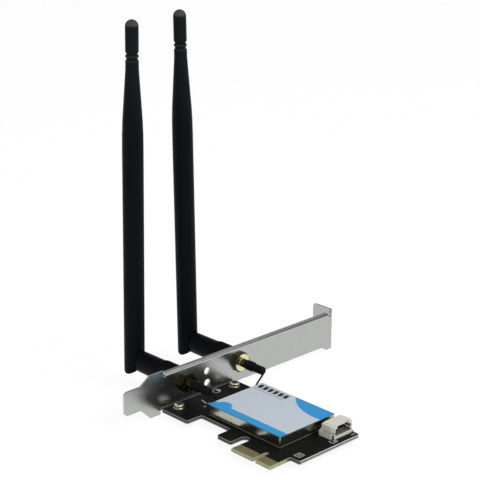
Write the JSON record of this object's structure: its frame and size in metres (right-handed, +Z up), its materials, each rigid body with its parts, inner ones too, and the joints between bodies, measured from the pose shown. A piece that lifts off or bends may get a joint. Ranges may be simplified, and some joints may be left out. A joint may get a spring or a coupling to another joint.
{
  "type": "wireless network card",
  "caption": "Short expansion card with a slot bracket, a metal shield, a cable socket and hinged antennas that swivel on threaded jacks.",
  "frame": {"origin": "middle of the board's key notch, on the contact edge, halfway through the board's thickness", "axes": "+X from the contact edge into the board and along the bracket towards its screw flange; +Y out through the bracket to the antennas; +Z up from the component side, along the raised antennas"},
  "size_m": [0.12, 0.1094, 0.1547],
  "materials": {
    "board": "satin solder mask",
    "gold": "gold plated",
    "bracket_metal": "bright nickel plate",
    "steel": "plated",
    "tin": "tin plated",
    "label": "coated label",
    "module_board": "solder mask",
    "black_plastic": "satin",
    "cream_plastic": "moulded",
    "white_plastic": "smooth",
    "rubber": "satin",
    "brass": "plated"
  },
  "bodies": {
    "card": {"pcb": "board", "contacts_top": "gold", "contacts_bottom": "gold", "screw_pads": "gold", "bracket": "bracket_metal", "board_screws": "steel", "shield_frame": "tin", "shield_cover": "tin", "shield_label": "label", "radio_module_board": "module_board", "radio_module_can": "tin", "module_socket": "black_plastic", "module_standoff": "gold", "module_screw": "steel", "rf_sockets": "gold", "rf_plug_near": "gold", "rf_plug_far": "gold", "cable_socket": "cream_plastic", "cable_socket_pins": "tin", "cable_socket_tabs": "tin", "jack_near": "gold", "jack_far": "gold", "jack_insulator_near": "white_plastic", "jack_insulator_far": "white_plastic", "jack_pin_near": "gold", "jack_pin_far": "gold", "lock_washers": "steel", "jack_nuts": "gold", "shrink_sleeve_near": "rubber", "shrink_sleeve_far": "rubber", "coax_near": "rubber", "coax_far": "rubber", "coupling_nut_near": "black_plastic", "coupling_nut_far": "black_plastic"},
    "base_near": {"swivel_base_near": "black_plastic", "swivel_ferrule_near": "brass", "plug_insulator_near": "white_plastic", "plug_contact_near": "gold", "hinge_pin_near": "steel"},
    "antenna_near": {"antenna_near": "black_plastic", "radiator_near": "brass"},
    "base_far": {"swivel_base_far": "black_plastic", "swivel_ferrule_far": "brass", "plug_insulator_far": "white_plastic", "plug_contact_far": "gold", "hinge_pin_far": "steel"},
    "antenna_far": {"antenna_far": "black_plastic", "radiator_far": "brass"}
  },
  "joints": [
    {"name": "swivel_near", "type": "hinge", "parent": "card", "child": "base_near", "pos_m": [0.0172, 0.0717, 0.0084], "axis": [0, 1, 0], "range_deg": [-180, 4]},
    {"name": "fold_near", "type": "hinge", "parent": "base_near", "child": "antenna_near", "pos_m": [0.0172, 0.08975, 0.0084], "axis": [-1, 0, 0], "range_deg": [0, 91]},
    {"name": "swivel_far", "type": "hinge", "parent": "card", "child": "base_far", "pos_m": [0.0472, 0.0717, 0.0084], "axis": [0, 1, 0], "range_deg": [-4, 180]},
    {"name": "fold_far", "type": "hinge", "parent": "base_far", "child": "antenna_far", "pos_m": [0.0472, 0.08975, 0.0084], "axis": [-1, 0, 0], "range_deg": [-2.4, 88.6]}
  ]
}
